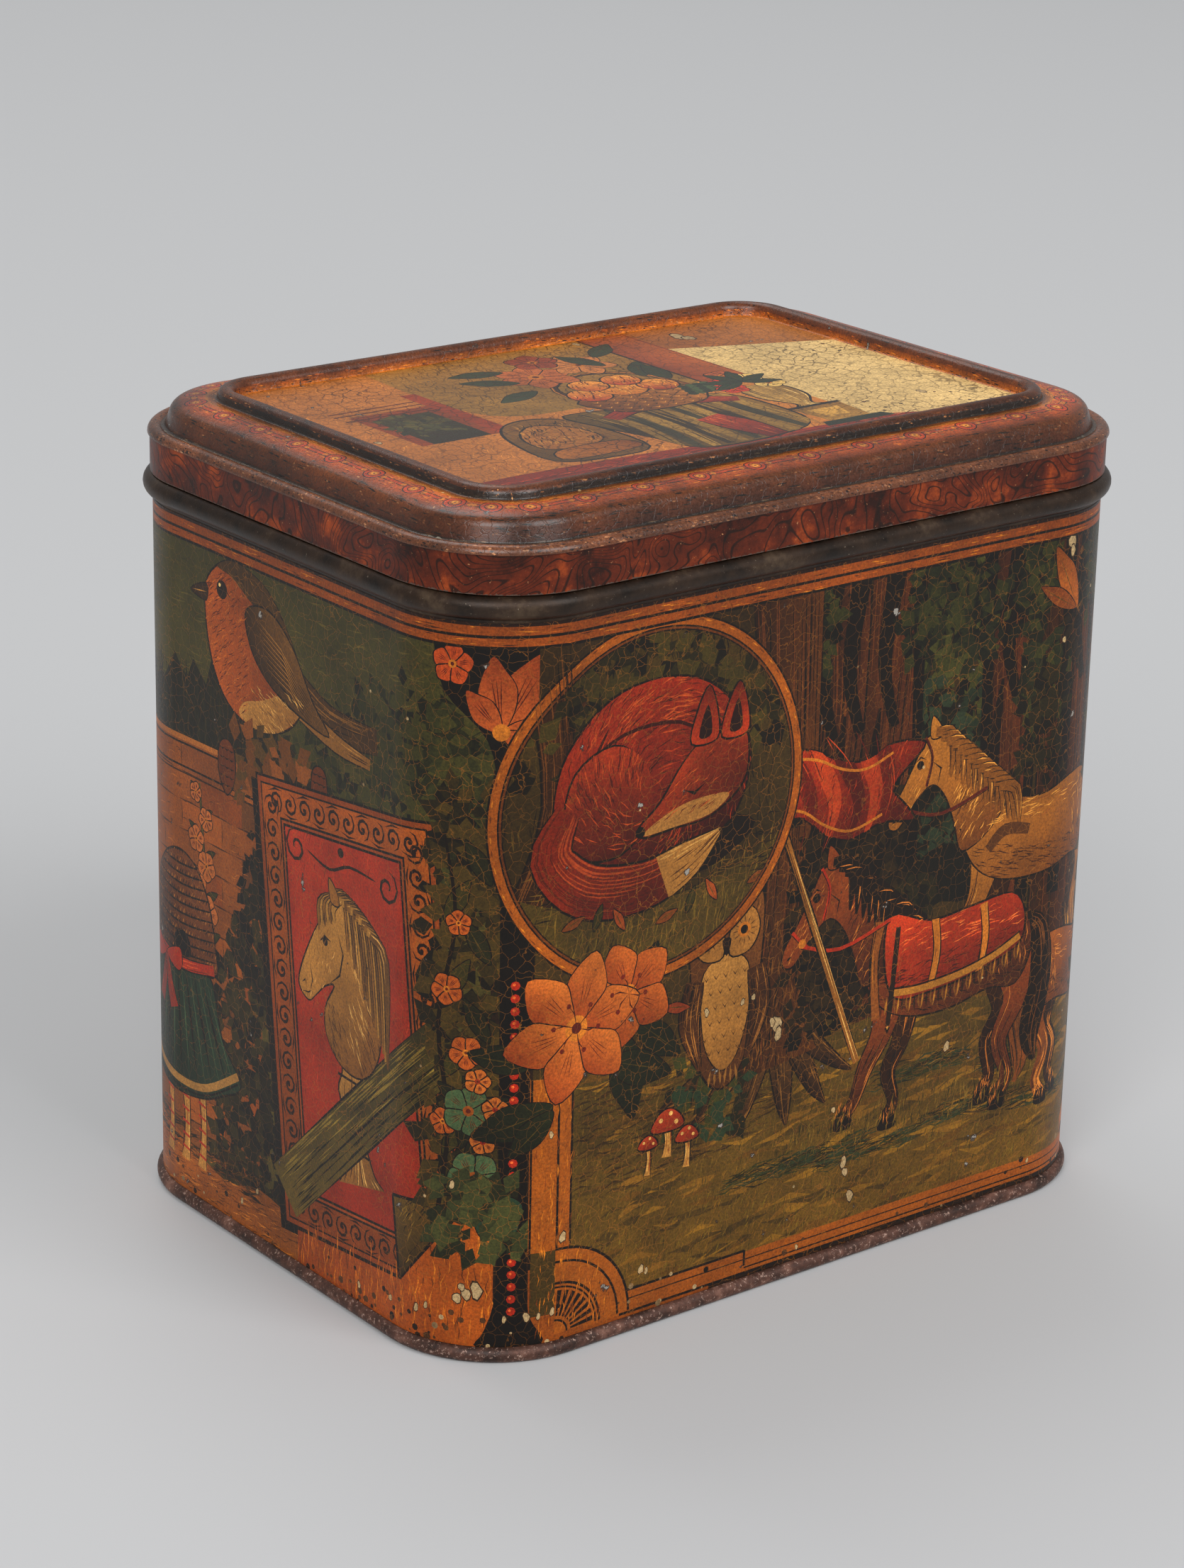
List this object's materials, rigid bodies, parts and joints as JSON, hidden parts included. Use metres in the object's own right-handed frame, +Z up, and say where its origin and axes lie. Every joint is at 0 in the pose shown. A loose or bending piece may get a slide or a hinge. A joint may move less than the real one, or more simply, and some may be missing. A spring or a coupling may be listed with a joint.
{
  "type": "biscuit tin",
  "caption": "Rounded-rectangle printed tinplate biscuit tin with a swaged bead, a rolled foot and a stamped lid hinged on a wire along the rear.",
  "frame": {"origin": "on the standing plane, at the middle of the tin's plan", "axes": "+Z up, +X along the long side, -Y out of the long front side, with the lid hinged along the rear side, +Y"},
  "size_m": [0.1534, 0.114, 0.1511],
  "materials": {
    "body_print": "lithographed inks on gold lacquer under aged, crackled varnish",
    "lid_print": "lithographed inks on gold lacquer under aged, crackled varnish",
    "skirt_print": "red-brown graining under worn varnish",
    "worn_tinplate": "bare tinplate, oxidised brown and rubbed at the edge",
    "bare_tinplate": "dull grey tinplate with light rust",
    "iron_wire": "dark oxidised iron wire"
  },
  "bodies": {
    "tin": {"body_wall": "body_print", "bottom_end": "worn_tinplate", "neck_wire": "iron_wire", "side_seam": "bare_tinplate", "hinge_wire": "iron_wire", "hinge_leaf": "bare_tinplate"},
    "lid": {"lid_panel": "lid_print", "lid_skirt": "skirt_print", "skirt_lap": "bare_tinplate", "hinge_strap_left": "bare_tinplate", "hinge_strap_right": "bare_tinplate"}
  },
  "joints": [
    {"name": "lid_hinge", "type": "hinge", "parent": "tin", "child": "lid", "pos_m": [0, 0.0544, 0.1345], "axis": [-1, 0, 0], "range_deg": [0, 100]}
  ]
}
